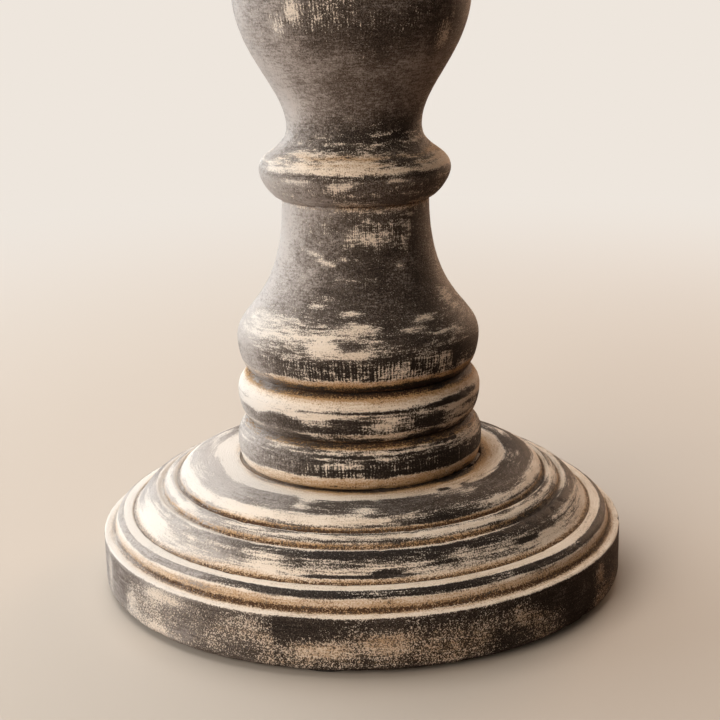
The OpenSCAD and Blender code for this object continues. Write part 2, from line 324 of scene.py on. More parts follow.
# On the stem a station is the height above the floor
STEM_BANDS = (
    # Lower spigot and seat
    (20, 10, 40), (34.6, 20, 130), (35.4, 36, 120, 0.1), (35.8, 16, 100, 0.1), (36.2, 26, 100, 0.1),
    (36.6, 8, 105, 0.1), (37.9, 14, 80, 0.2, 30),
    # Lower bead
    (38.5, 86, 30, 0.2, 100), (41.5, 86, 20, 0.2, 100), (41.9, 66, 10, 0.2, 60), (42.4, 88, 10, 0.2, 40),
    (43.1, 88, 10, 0.2, 20), (43.6, 58, 10, 0.2, 20), (44.1, 86, 10, 0.2, 10), (44.6, 58, 20, 0.2),
    (45, 46, 30, 0.2), (45.4, 78, 40, 0.2), (45.8, 50, 90, 0.1),
    # Cut between the beads, where dark paint and heavy ochre, from the last entries above, paint the shade
    # in the cut
    (46.3, 70, 180, 0.1), (46.7, 60, 210), (47.2, 62, 210),
    # Upper bead
    (47.7, 74, 100, 0.1), (48.9, 74, 60, 0.2, 20), (49.5, 50, 80, 0.3, 20), (50.1, 52, 40, 0.3, 40),
    (50.7, 80, 20, 0.4, 50), (53.6, 80, 10, 0.4, 50), (54.4, 62, 10, 0.4, 30), (54.9, 30, 10, 0.3, 20),
    # The last entry on this line and the next start the painted shade under the bell on the upper bead's
    # top
    (56, 22, 10, 0.2), (56.5, 48, 10, 0.2), (57, 30, 10, 0.2), (57.8, 22, 10, 0.2), (58.6, 20, 60, 0.2),
    (59.4, 28, 95, 0.1),
    # Cut under the bell, where dark paint and heavy ochre paint the shade under the bell's overhang, with
    # some dirt
    (60.1, 60, 180), (60.6, 62, 220), (62.2, 80, 210), (63, 70, 170, 0.2),
    # Combed edge of the bell
    (63.6, 42, 115, 0.2, 20), (64.6, 36, 90, 0.3, 60), (65.2, 76, 30, 0.3, 100), (69.4, 80, 10, 0.2, 100),
    # Bell
    (70.4, 74, 10, 0.3, 30, 10), (71.4, 70, 10, 0.4, 10, 15), (73, 74, 10, 0.8, 0, 20),
    (76, 68, 10, 1.2, 0, 20), (79.5, 74, 10, 1.5, 0, 20), (83, 84, 10, 1.5, 10, 24),
    (90, 90, 10, 1.5, 10, 24), (98, 88, 10, 1.5, 50, 24),
    # Neck
    (104, 84, 10, 1, 70, 28), (107, 78, 30, 0.3, 30, 30), (109, 46, 60, 0, 10, 30),
    (109.8, 64, 80, 0, 0, 30),
    # Collar
    (111.5, 76, 50, 0.2, 20, 30), (113, 74, 30, 0.3, 100, 30), (115, 78, 10, 0.3, 80, 30),
    (116.6, 74, 10, 0.3, 20, 30), (117.6, 80, 10, 0.2, 10, 10), (118.5, 62, 10, 0.2),
    # Collar's top and throat
    (119.1, 24, 30, 0.2), (119.6, 12, 20, 0.2), (120.4, 34, 30, 0.3), (121, 16, 65, 0.3),
    (121.8, 40, 50, 0.3), (122.6, 28, 95, 0.4), (123.4, 48, 60, 0.4), (124.2, 66, 40, 0.4),
    (125, 78, 30, 0.4), (126, 60, 20, 0.4), (127, 80, 20, 0.4), (128.4, 62, 10, 0.4),
    (129.4, 82, 10, 0.4, 0, 10), (131, 80, 10, 0.5, 0, 20),
    # Urn
    (136, 96, 10, 1.5, 0, 62), (147, 100, 10, 3, 10, 70), (153, 94, 10, 3, 30, 36),
    (158, 82, 10, 1.5, 90, 20), (168, 78, 10, 1.5, 90, 20), (176, 74, 10, 1, 50, 30),
    # Small ring
    (184, 68, 30, 0.5, 20, 40), (186.6, 30, 90, 0, 0, 10), (188, 75, 20, 0.2, 50), (192, 60, 10, 0.3, 40),
    (194.2, 10, 10),
    # Slender neck, flare and upper spigot
    (195.5, 30, 80), (199, 75, 20, 0.5, 20, 40), (220, 76, 10, 1.5, 50, 40), (238, 72, 10, 1, 30, 30),
    (242.5, 30, 60), (270, 20, 60),
)

# On the candle dish a station is the distance along the surface from the rim, negative underneath
DISH_BANDS = (
    # Socket
    (-80, 20, 70), (-45, 25, 70),
    # Underside
    (-42, 70, 30, 0.6, 20, 30), (-26, 74, 10, 1, 30, 40), (-16, 55, 10, 0.8, 10, 10),
    # Side of the rim
    (-13.5, 20, 60), (-11, 84, 20, 0.3, 30), (-6, 74, 10, 0.5, 30), (-3, 36, 10, 0.4),
    # Rim and hollow
    (0, 6, 10), (3, 50, 30, 0.3), (7, 70, 30, 0.5, 0, 30), (70, 70, 30, 0, 0, 30),
)

# Worn and heavy places on the side that faces the camera, listed in the order of their stations:
# azimuth in degrees, station, half width in degrees, half height in millimetres, change in dark percentage
BASE_MARKS = (
    (-137, -12.5, 8, 1.6, -25), (-27, -11.5, 10, 2, -25), (-62, -11, 3, 2.5, 20), (-39, -10, 4, 4, 50),
    (-50, -9.5, 5, 3.5, -14), (-146.5, -9, 2.2, 3.2, -45), (-99, -8.6, 6, 2.2, -50), (-131, -8, 9, 5, -16),
    (-70, -8, 14, 5, -14), (-86, -6.8, 4, 3.2, -50), (-133, -6.5, 4, 1.6, 10), (-160, -6, 2, 5.5, -40),
    (-152, -5, 4, 4.5, 25), (-115, -4.5, 5, 3.5, -20), (-31, -4, 2, 3, -45), (-105, -3, 4, 2.5, 20),
    (-45, -3, 7, 2.5, 35), (-134, -2, 6, 1.7, -60), (-130, 6.1, 16, 0.4, -25), (-156, 6.5, 0.5, 0.4, 70),
    # The first mark on this line lightens the ring's dark band on the left: wear, and painted sheen where
    # the light falls most
    (-160, 7.4, 10, 1.4, -15), (-92, 14, 9, 0.25, 170), (-84.5, 14.8, 2.6, 0.7, 180),
    (-102, 15.2, 9, 0.7, -35), (-28, 15.5, 14, 2.4, -34), (-84, 15.8, 7, 0.9, -42), (-46, 16, 8, 2.2, -15),
    (-64, 16.2, 7, 2.4, -10), (-46, 16.4, 3, 0.4, 170), (-138, 16.8, 11, 3.2, -30),
    (-156, 17.2, 8, 2.2, -60), (-114, 17.5, 4, 2.5, -22), (-34, 17.5, 12, 0.25, 80),
    (-79, 18.2, 9, 0.5, 25), (-20, 18.4, 10, 1.2, -30), (-150, 20.4, 12, 1.5, -10),
    (-34, 22.6, 18, 1.2, 120), (-100, 25.9, 10, 0.5, 20), (-160, 26.8, 12, 1, -15),
    (-52, 27, 16, 1.2, -32), (-128, 27.3, 14, 1, 26), (-56, 27.6, 11, 0.5, 35), (-24, 29.3, 13, 0.7, 100),
    (-69, 32.3, 4, 0.6, 60), (-40, 32.8, 12, 1, 30), (-77, 33.2, 5, 0.7, 60), (-61, 33.5, 10, 1.4, 75),
    (-86, 34.4, 5, 0.6, 60), (-124, 35.2, 12, 0.8, 35), (-165, 37, 12, 2.5, -35),
    (-90, 37.2, 3.5, 1.3, -52), (-130, 39.5, 14, 5, -12), (-110, 39.5, 2.4, 3.5, -42),
    (3, 39.5, 10, 3.5, 50), (-51, 40.5, 3.5, 3, -48), (-111, 42.2, 5, 1, -30), (-85, 42.2, 1.5, 1, -42),
    (-61, 42.2, 8, 1.7, -48), (-157, 42.4, 8, 1.3, 28), (-48, 43.4, 1.8, 0.9, 60),
    # The last mark on this line and the one below thin the painted contact shadow round the stem's foot, on
    # the right and on the brightly lit left
    (-126, 43.8, 11, 0.9, -60), (-57, 43.8, 2.5, 0.7, 140), (-12, 49.6, 24, 1.2, -60),
    (-165, 50, 16, 2.5, -70),
)
STEM_MARKS = (
    (-92, 35.8, 18, 0.3, 45), (-34, 36.1, 18, 0.5, 45), (-112, 40.8, 7, 1.2, -12), (-40, 40.8, 9, 1.5, 20),
    (-164, 41, 10, 3, -30), (-101, 41.5, 10, 0.35, -35), (-24, 44.2, 14, 1.4, -38),
    (-40, 45.6, 1.2, 0.8, 60), (-124, 49, 14, 0.8, 30), (-80, 49.2, 20, 0.7, -26), (-166, 52, 8, 2.5, -35),
    (-126, 52, 9, 1.6, 16), (-96, 52, 11, 2, 12), (-55, 52, 7, 2, 16), (-77, 52.4, 7, 2, -45),
    (-130, 52.6, 9, 1.8, 10), (-33, 52.6, 12, 2.4, -50), (-101, 53, 10, 0.8, -30), (-113, 53.6, 5, 1, -32),
    (-144, 54, 5, 1, -42), (-72, 55.3, 11, 0.35, 55), (-92, 56.4, 20, 0.4, 62), (-55, 56.4, 20, 1, 80),
    (-34, 57, 14, 0.9, 60), (-55, 63, 14, 2, 25), (-125, 66, 3, 1, -30), (-71, 66.3, 7, 2, -36),
    (-47.5, 67, 4.5, 3, -36), (-38, 68, 2.5, 2.2, 40), (-92.5, 72.1, 6.5, 0.9, -80),
    (-106, 73.4, 6, 1.6, -80), (-33, 74.6, 6, 1.2, -45), (-104, 76.3, 14, 0.4, -50),
    (-150, 77.4, 22, 2.8, -42), (-62, 77.4, 7, 0.7, -42), (-72, 78, 7, 3, 18), (-92, 78.2, 9, 1.4, -75),
    (-52, 79.8, 7, 0.9, -50), (-93, 82, 8, 0.5, -50), (-25, 83, 9, 3, -45), (-113, 83.6, 5, 0.5, -50),
    (-97, 90.3, 12, 0.6, -50), (-128, 90.4, 5, 1.2, -50), (-58, 93.4, 4, 1.6, -60),
    (-110, 94.3, 5, 0.8, -75), (-116, 95.5, 3, 0.8, -60), (-99, 95.6, 4, 0.6, -60),
    (-122, 96.8, 5, 0.8, -60), (-131, 97.6, 6, 0.6, -55), (-52, 98.5, 4, 2.5, -50),
    (-98, 101, 5, 2.5, -30), (-66, 101.5, 7, 3.2, -34), (-85, 101.6, 12, 3, -40), (-47, 102.5, 4, 2, -45),
    (-98, 115.2, 7, 0.7, -80), (-126, 116.4, 9, 0.4, -60), (-66, 116.8, 8, 0.5, -60),
    (-124, 118.3, 12, 0.7, 35), (-166, 120, 12, 3.5, 60), (-142, 121, 15, 2, 40), (-65, 121, 9, 1.8, 32),
    (-45, 121.8, 20, 1.8, 28), (-124, 124, 12, 0.9, -30), (-78, 124.8, 6, 1.2, -28),
    (-94, 132.8, 5, 0.9, -50), (-88.5, 149, 5, 1.2, -45), (-37, 153.5, 6, 3.5, -60),
    (-128.5, 156.5, 4, 3.2, -80), (-98, 160.5, 14, 4, -16), (-119, 161.5, 4, 3.5, -80),
)

# Marks strewn over the back and above: how many, and their ranges of stations and of azimuths in degrees
BASE_STREWN = ((34, (-14, 0), (-5, 185)), (60, (13, 46), (-5, 185)))
STEM_STREWN = ((90, (39, 165), (-10, 190)), (60, (166, 243), (-180, 180)))
DISH_STREWN = ((60, (-42, 12), (-180, 180)),)

# Rings are told apart to this many digits of a metre; those nearer than the gap are one
RING_DIGITS = 6
RING_GAP = 4e-6

# Vertices nearer than this are joined, which closes the seam and the poles
SEAM_GAP = 2e-6

# An outline is broken where it turns more sharply than this
CORNER = math.radians(24)

# Reaches over which an outline is averaged to find crests, hollows and grooves, and their full sizes
EDGE_REACH = 1.1 * MM
CREST_HEIGHT = 0.2 * MM
HOLLOW_DEPTH = 0.16 * MM
GROOVE_REACH = 2.4 * MM
GROOVE_DEPTH = 0.9 * MM


def vertex_places(mesh):
    """Places of a mesh's vertices, one row each."""
    places = np.empty(len(mesh.vertices) * 3)
    mesh.vertices.foreach_get("co", places)
    return places.reshape(-1, 3)


def rings_of(mesh, centre):
    """Radius and height of the rings of vertices about an upright axis, and each vertex's ring."""
    x, y, z = vertex_places(mesh).T
    rings = np.column_stack([np.hypot(x - centre[0], y - centre[1]), z])
    points, ring_of = np.unique(rings.round(RING_DIGITS), axis=0, return_inverse=True)
    ring_of = ring_of.reshape(-1)
    for i, point in enumerate(points):
        twin = int(np.argmax(np.linalg.norm(points - point, axis=1) < RING_GAP))
        ring_of[ring_of == i] = twin
    return points, ring_of


def ring_links(mesh, ring_of):
    """For each ring the rings that a mesh's triangles join it to."""
    mesh.calc_loop_triangles()
    corners = np.empty(len(mesh.loop_triangles) * 3, dtype=np.int32)
    mesh.loop_triangles.foreach_get("vertices", corners)
    corners = ring_of[corners.reshape(-1, 3)]
    links = {}
    for a, b in np.vstack([corners[:, [0, 1]], corners[:, [1, 2]], corners[:, [2, 0]]]):
        if a != b:
            links.setdefault(int(a), set()).add(int(b))
            links.setdefault(int(b), set()).add(int(a))
    return links


def outline_of(name, centre=(0.0, 0.0)):
    """Radius and height of a turned node's outline, in order, read from its rings of vertices."""
    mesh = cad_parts[name].data
    points, ring_of = rings_of(mesh, centre)
    links = ring_links(mesh, ring_of)
    ends = [ring for ring in links if len(links[ring]) == 1]
    here = min(ends or links, key=lambda ring: points[ring][1])
    order = [here]
    while True:
        ahead = [ring for ring in links[here] if ring not in order]
        if not ahead:
            break
        here = max(ahead, key=lambda ring: points[ring][0]) if len(order) == 1 else ahead[0]
        order.append(here)
    path = points[order]
    if ends:
        return np.vstack([[0.0, path[0][1]], path, [0.0, path[-1][1]]])
    return np.vstack([path, path[:1]])


def smooth_outline(path, step, hidden):
    """Finer outline: curves run smoothly through the points and break only at real corners."""
    hidden_step = bpy.context.scene.candle_turning.hidden_step
    steps = np.diff(path, axis=0)
    ways = steps / np.linalg.norm(steps, axis=1)[:, None]
    turn = np.arccos(np.clip((ways[:-1] * ways[1:]).sum(1), -1, 1))
    breaks = [0] + [i + 1 for i in np.where(turn > CORNER)[0]] + [len(path) - 1]
    fine = [path[0]]
    for first, last in zip(breaks[:-1], breaks[1:]):
        run = path[first:last + 1]
        slopes = np.gradient(run, axis=0) if len(run) > 2 else np.repeat(np.diff(run, axis=0), 2, 0)
        for i in range(len(run) - 1):
            reach = float(np.linalg.norm(run[i + 1] - run[i]))
            parts = max(1, round(reach / (hidden_step if hidden(run[i:i + 2]).all() else step)))
            for t in np.arange(1, parts + 1) / parts:
                blend = np.array([2 * t**3 - 3 * t**2 + 1, t**3 - 2 * t**2 + t,
                                  3 * t**2 - 2 * t**3, t**3 - t**2])
                fine.append(blend @ np.array([run[i], slopes[i], run[i + 1], slopes[i + 1]]))
    return np.array(fine)


def spread(values, along, reach):
    """Values along an outline, averaged over a bell-shaped reach."""
    weights = np.exp(-0.5 * ((along[:, None] - along[None, :]) / reach) ** 2)
    weights *= np.gradient(along)[None, :].clip(1e-9)
    return (weights @ values) / weights.sum(1)[:, None]


class Outline:
    """Fine outline of a turned piece with what the finish needs to know along it."""

    def __init__(self, path, step, hidden=lambda points: points[:, 0] < 0):
        self.points = smooth_outline(path, step, hidden)
        gaps = np.linalg.norm(np.diff(self.points, axis=0), axis=1)
        self.along = np.concatenate([[0.0], np.cumsum(gaps)])
        ways = np.gradient(self.points, axis=0)
        ways /= np.linalg.norm(ways, axis=1)[:, None].clip(1e-12)
        self.out = np.column_stack([ways[:, 1], -ways[:, 0]])
        edge = self.swell(EDGE_REACH)
        self.crest = np.clip(edge / CREST_HEIGHT, 0, 1)
        self.hollow = np.clip(-edge / HOLLOW_DEPTH, 0, 1)
        self.deep = np.clip(-self.swell(GROOVE_REACH) / GROOVE_DEPTH, 0, 1)
        self.station = self.points[:, 1]
        self.skin = np.where(hidden(self.points), 0.0, 1.0)
        self.skin[[0, -1]] = 0.0

    def swell(self, reach):
        """How far each point stands out from the outline averaged over a reach."""
        return ((self.points - spread(self.points, self.along, reach)) * self.out).sum(1)

    def measure_from(self, landmark):
        """Station along the surface from the outline point nearest to a landmark."""
        nearest = np.argmin(np.linalg.norm(self.points - np.array(landmark), axis=1))
        self.station = self.along - self.along[nearest]


OUTLINE_FIELDS = ("along", "station", "hollow", "deep", "crest", "skin")
TURNING_INPUTS = {"Outline": "Geometry", "Segments": "Int", "Centre": "Vector", "Wobble": "Float",
                  "Ripple": "Float", "Chip": "Float", "Finish": "Material"}


def turning_tree():
    """Geometry tree that revolves an outline into a closed piece with a lathe's small faults."""
    tree = bpy.data.node_groups.new("Turned piece", "GeometryNodeTree")
    for name, kind in TURNING_INPUTS.items():
        tree.interface.new_socket(name, in_out="INPUT", socket_type="NodeSocket" + kind)
    tree.interface.new_socket("Piece", in_out="OUTPUT", socket_type="NodeSocketGeometry")
    graph = Graph(tree)
    sockets = graph.node("NodeGroupInput").socket.node.outputs[:len(TURNING_INPUTS)]
    outline, segments, centre, wobble, ripple, chip, finish = [Value(graph, socket) for socket in sockets]

    # A grid of one row for each point of the outline and one column for each step round the axis
    given = {"Geometry": outline}
    rows = graph.node("GeometryNodeAttributeDomainSize", given, "Point Count", component="MESH")
    size = {"Vertices X": segments + 1, "Vertices Y": rows}
    grid = graph.node("GeometryNodeMeshGrid", size, "Mesh")
    index = graph.node("GeometryNodeInputIndex")
    column = ((index + 0.5) / rows).math("FLOOR")
    row = index - column * rows
    turn = column / segments * math.tau
    cosine = turn.math("COSINE")
    sine = turn.math("SINE")

    def along_outline(value, data_type):
        sockets = {"Geometry": outline, "Value": value, "Index": row}
        return graph.node("GeometryNodeSampleIndex", sockets, data_type=data_type, domain="POINT")

    def stored(name, data_type="FLOAT"):
        field = graph.node("GeometryNodeInputNamedAttribute", {"Name": name}, data_type=data_type)
        return along_outline(field, data_type)

    reach, _, height = graph.split(along_outline(graph.node("GeometryNodeInputPosition"), "FLOAT_VECTOR"))
    out_reach, _, out_height = graph.split(stored("out", "FLOAT_VECTOR"))
    place = graph.vector(reach * cosine, reach * sine, height)
    outward = graph.vector(out_reach * cosine, out_reach * sine, out_height)

    # The faults: out of round, tool marks, knocked crests, dents and rough groove bottoms
    lopsided = graph.noise(place, 16.0, 1.0)
    marks = graph.noise(graph.vector(cosine * 0.5, sine * 0.5, stored("along") * 900.0), 1.0, 1.0)
    knocks = graph.step(graph.noise(place, 260.0, 2.0), 0.05, 0.24) * stored("crest")
    dents = graph.step(graph.noise(place, 75.0, 1.0), 0.2, 0.3) * 0.25
    chatter = graph.noise(place, 700.0, 2.0) * stored("hollow") * 2.4
    faults = lopsided * wobble * 2.0 + marks * ripple * 2.0 + (chatter - knocks - dents) * chip
    lift = {0: outward, "Scale": stored("skin") * faults}
    moved = graph.node("ShaderNodeVectorMath", lift, operation="SCALE")
    shifted = graph.vector_math("ADD", graph.vector_math("ADD", place, moved), centre)

    piece = graph.node("GeometryNodeSetPosition", {"Geometry": grid, "Position": shifted})
    for name in OUTLINE_FIELDS:
        sockets = {"Geometry": piece, "Name": name, "Value": stored(name)}
        piece = graph.node("GeometryNodeStoreNamedAttribute", sockets, data_type="FLOAT", domain="POINT")
    piece = graph.node("GeometryNodeMergeByDistance", {"Geometry": piece, "Distance": SEAM_GAP})
    piece = graph.node("GeometryNodeSetShadeSmooth", {"Geometry": piece})
    piece = graph.node("GeometryNodeRealizeInstances", {"Geometry": piece})
    piece = graph.node("GeometryNodeSetMaterial", {"Geometry": piece, "Material": finish})
    graph.node("NodeGroupOutput", {"Piece": piece})
    return tree


def read_field(mesh, name):
    """A stored number for every vertex."""
    values = np.empty(len(mesh.vertices), dtype=np.float32)
    mesh.attributes[name].data.foreach_get("value", values)
    return values.astype(float)


def store_field(mesh, name, values):
    """Stores a number for every vertex."""
    layer = mesh.attributes.new(name, "FLOAT", "POINT")
    layer.data.foreach_set("value", np.asarray(values, dtype=np.float32))


def outline_mesh(name, outline):
    """An outline as a chain of edges that carries its fields."""
    mesh = bpy.data.meshes.new(name)
    corners = [(r, 0.0, z) for r, z in outline.points]
    mesh.from_pydata(corners, [(i, i + 1) for i in range(len(corners) - 1)], [])
    for field in OUTLINE_FIELDS:
        store_field(mesh, field, getattr(outline, field))
    layer = mesh.attributes.new("out", "FLOAT_VECTOR", "POINT")
    out = np.column_stack([outline.out[:, 0], np.zeros(len(corners)), outline.out[:, 1]])
    layer.data.foreach_set("vector", out.astype(np.float32).ravel())
    return mesh


def turn_piece(name, outline, segments, material, centre=(0.0, 0.0, 0.0), faults=1.0):
    """Revolves an outline into a plain mesh object of that name."""
    scene = bpy.context.scene
    settings = scene.candle_turning
    seed = outline_mesh(name + "_outline", outline)
    lathe = bpy.data.objects.new(name + "_lathe", seed)
    scene.collection.objects.link(lathe)
    tree = bpy.data.node_groups.get("Turned piece") or turning_tree()
    modifier = lathe.modifiers.new("Turning", "NODES")
    modifier.node_group = tree
    values = {"Segments": segments, "Centre": centre, "Wobble": settings.wobble * faults,
              "Ripple": settings.ripple * faults, "Chip": settings.chip * faults, "Finish": material}
    for item in tree.interface.items_tree:
        if item.in_out == "INPUT" and item.name in values:
            modifier[item.identifier] = values[item.name]
    graph = bpy.context.evaluated_depsgraph_get()
    mesh = bpy.data.meshes.new_from_object(lathe.evaluated_get(graph), depsgraph=graph)
    mesh.name = name
    bpy.data.objects.remove(lathe)
    bpy.data.meshes.remove(seed)
    piece = bpy.data.objects.new(name, mesh)
    scene.collection.objects.link(piece)
    return piece


def seat(piece, slot, *nodes):
    """Makes a piece stand for its nodes: hangs it from the root body and hides them."""
    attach(piece, "root")
    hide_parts(*nodes)


# Strewn marks: the share that is worn, then ranges of the change in percentage where worn and where heavy,
# of half width in degrees and of half height in millimetres
WORN_SHARE = 0.65
WORN_CHANGE = (-45, -22)
HEAVY_CHANGE = (15, 40)
STREWN_WIDTH = (3, 11)
STREWN_HEIGHT = (0.5, 2.4)

# Strength of a mark, and the rate and power of its fall from the middle
MARK_STRENGTH = 0.72
MARK_RATE = 0.7
MARK_POWER = 2.5

# Waves round a piece by which the bands' edges stray, and the range of their size
WAVES = range(2, 15)
WAVE_SIZE = (0.2, 0.8)

# Azimuth and reach in degrees of the left side, where the light falls most; there dust and painted sheen
# are laid on and ochre is taken off
LIT_SIDE = -170
LIT_SIDE_REACH = 51

# Dabbed paint loses this share of its brush marks, over this many millimetres at each end
DABBED_SHARE = 0.8
DABBED_EDGE = 2


def strewn_marks(chance, strewn):
    """Worn and heavy places strewn over ranges of stations and azimuths."""
    marks = []
    for amount, stations, azimuths in strewn:
        for _ in range(amount):
            changes = WORN_CHANGE if chance.random() < WORN_SHARE else HEAVY_CHANGE
            ranges = (changes, azimuths, stations, STREWN_WIDTH, STREWN_HEIGHT)
            change, *place = [chance.uniform(*span) for span in ranges]
            marks.append((*place, change))
    return tuple(marks)


def apart(azimuth, degrees):
    """Angle from a direction to each azimuth, between -180 and 180 degrees."""
    return (azimuth - degrees + 180) % 360 - 180


def strayed(azimuth, chance):
    """Smooth random rise and fall round a piece."""
    stray = np.zeros(len(azimuth))
    for waves in WAVES:
        phase = chance.uniform(0, math.tau)
        size = chance.uniform(*WAVE_SIZE) / waves**0.5
        stray += np.sin(waves * np.radians(azimuth) + phase) * size
    return stray


def paint_mesh(piece, bands, marks, strewn, seed, dabbed=(0, 0), film=((0, 50),), lit_side_ochre_loss=((0, 50),)):
    """Lays the bands and marks of the finish on a turned piece.

    Between the two stations of dabbed the paint is dabbed on, elsewhere it is brushed. On the left side,
    where the light falls most, film lays on a pale powdery layer that is also painted sheen, and
    lit_side_ochre_loss takes ochre away as painted light; both are pairs of a station and a percentage.
    """
    chance = np.random.default_rng(seed)
    marks += strewn_marks(chance, strewn)
    mesh = piece.data
    x, y, _ = vertex_places(mesh).T
    azimuth = np.degrees(np.arctan2(y, x))
    station = read_field(mesh, "station") / MM
    entries = [entry + (0,) * (len(BAND_COLUMNS) - len(entry)) for entry in bands]
    columns = dict(zip(BAND_COLUMNS, np.array(entries).T))

    def banded(name, where):
        return np.interp(where, columns["station"], columns[name])

    shifted = station + strayed(azimuth, chance) * banded("stray", station)
    dark = banded("dark", shifted)
    for degrees, middle, half_width, half_height, change in marks:
        across = np.abs(apart(azimuth, degrees) / half_width)
        up = np.abs((station - middle) / half_height)
        dark += change * MARK_STRENGTH * np.exp(-MARK_RATE * (across**MARK_POWER + up**MARK_POWER))
    # Painted light: the side the light falls on most gets a pale film of dust and sheen and loses ochre
    on_lit_side = np.exp(-(apart(azimuth, LIT_SIDE) / LIT_SIDE_REACH) ** 2)
    ochre = banded("ochre", shifted) - on_lit_side * np.interp(station, *np.array(lit_side_ochre_loss).T)
    dust_and_sheen = banded("dust_and_sheen", shifted) + on_lit_side * np.interp(station, *np.array(film).T)
    comb = banded("comb", shifted)
    for name, percentage in (("dark", dark), ("ochre", ochre), ("comb", comb), ("dust_and_sheen", dust_and_sheen)):
        store_field(mesh, name, percentage / 100)
    first, last = dabbed
    dabs = np.clip((station - first) / DABBED_EDGE, 0, 1) * np.clip((last - station) / DABBED_EDGE, 0, 1)
    store_field(mesh, "brush", 1 - DABBED_SHARE * dabs)


def rubbed_paint(name):
    """Charcoal paint dry-brushed over cream and rubbed back, with ochre glaze in the hollows, painted shade
    in grooves and cuts and a pale painted sheen.
    """
    paint = Paint(name)
    colours = paint.colours
    x, y, z = paint.split(paint.place)
    fields = ("along", "hollow", "deep", "crest", "dark", "ochre", "comb", "brush", "dust_and_sheen")
    along, hollow, deep, crest, coat, ochre, comb, brush, film = map(paint.attribute, fields)

    # Even noises from broad to fine
    drifts = paint.noise(paint.place, 20.0, 2.0, 0.5)
    clouds = paint.noise(paint.place, 60.0, 4.0, 0.6)
    crumbs = paint.noise(paint.place, 1150.0, 3.0, 0.65)
    specks = paint.noise(paint.place, 2500.0, 2.0, 0.6)
    grit = paint.noise(paint.place, 4200.0, 1.0, 0.6)
    stipple = specks * 0.8 + grit * 0.35

    # Brush marks drawn out round the piece, then upright comb marks
    radius = (x * x + y * y).math("SQRT").math("MAXIMUM", 1 * MM)
    cosine = x / radius
    sine = y / radius
    streaks = paint.noise(paint.vector(cosine * 3.2, sine * 3.2, along * 480.0), 1.0, 3.0, 0.6, 0.5)
    hairs = paint.noise(paint.vector(cosine * 9.0, sine * 9.0, along * 1900.0), 1.0, 3.0, 0.6)
    ticks = paint.noise(paint.vector(x * 1150.0, y * 1150.0, along * 170.0), 1.0, 3.0, 0.6)
    teeth = (y.math("ARCTAN2", x) * COMB_TEETH + clouds * 15.0).math("SINE")

    # Near the glue line the dark paint is heavier on the right and lighter on the left
    offset = x - GLUE_LINE
    near = paint.step(offset.math("ABSOLUTE"), 0.0, GLUE_REACH, 1.0, 0.0)
    board = near * paint.step(z, *PLINTH_TOP, 1.0, 0.0) * offset.math("SIGN")

    # The dark paint that is left: crisp specks, with a share of soft wash
    strokes = brush * (streaks * 0.9 + hairs * 0.8)
    wash = coat + board * 0.07 - crest * 0.1 + drifts * 0.25
    wash = wash + clouds * (1.1 - brush * 0.3) + strokes + (ticks * 1.15 + teeth * 0.09) * comb
    dabs = (1 - brush) * crumbs * 0.8
    specked = paint.step(wash + stipple * (1.9 - brush * 0.2) + dabs, 0.4, 0.6)
    soft = brush * 0.26 + 0.06
    dark = specked * (1 - soft) + paint.step(wash, 0.3, 0.68) * soft

    # The undercoat: stained cream, with glaze in the hollows, umber that is dirt and painted shade in deep
    # grooves and cuts, grime, and a pale film of dust and painted sheen
    stain = paint.step(clouds * 0.8 + hairs * 0.6 + stipple * 0.9 - film * 0.25, -0.25, 0.3)
    glaze = paint.step(ochre + deep * 0.4 + streaks * 1.1 + hairs * 0.6 + stipple * 1.8, 0.1, 1.2)
    # Umber where grooves are deep and the ochre heavy: dirt, and painted shade in grooves and cuts
    dirt_and_shade = paint.step(hollow * 0.3 + deep * 0.55 + ochre * 0.6 + crumbs * 0.8 + stipple * 2.2, 0.7, 1.25)
    grime = paint.step(clouds + streaks * 0.6 + hairs * 0.6 + stipple * 1.8, 0.08, 0.45) * 0.55
    haze_of_dust_and_sheen = paint.step(film - ochre * 0.9 + clouds + hairs, 0.0, 1.4) * 0.7
    undercoat = paint.layered(
        colours.cream, (stain, colours.stain), (glaze, colours.ochre), (dirt_and_shade, colours.umber),
        (grime, colours.slate), (haze_of_dust_and_sheen, colours.haze_of_dust_and_sheen))

    # The top coat: charcoal, thin in places, with dust and painted sheen that leave pits free, and flecks
    # of undercoat;
    # where the film of dust and sheen lies, most on the lit left side, the charcoal is thinner and flecks
    # show more, painted sheen too
    thin = paint.step(film * 0.8 + drifts * 0.5 + clouds * 0.6 + hairs * 0.5 + stipple * 1.6, -0.05, 0.65)
    settled = film + drifts * 1.2 + clouds * 1.6 + crumbs * 1.2 + hairs * 1.2 + stipple * 1.6
    pits = paint.step(stipple + crumbs * 0.6, 0.1, 0.3) * 0.3
    dust_and_sheen = paint.step(settled, 0.3, 1.6) * 0.92 * (1 - pits)
    flecks = paint.step(stipple + hairs * 0.35 + clouds * 0.4, 0.13, 0.3)
    flecks = flecks * (brush * 0.16 + 0.14 + film * 0.12)
    top_coat = paint.layered(
        colours.charcoal, (thin, colours.slate), (dust_and_sheen, colours.dust_and_sheen), (flecks, colours.fleck))

    roughness = 0.7 - dark * 0.15 + specks * 0.25
    relief = dark * 0.2 + specks * 0.5 + grit * 0.4 + hairs * brush * 0.3 + ticks * comb * 0.3
    paint.surface.inputs["Specular IOR Level"].default_value = 0.16
    return paint.finish(paint.mix(dark, undercoat, top_coat), roughness, relief, 0.4 * MM)


def wood_paint():
    """The one rubbed paint that all turned wood shares."""
    return bpy.data.materials.get("rubbed_paint") or rubbed_paint("rubbed_paint")


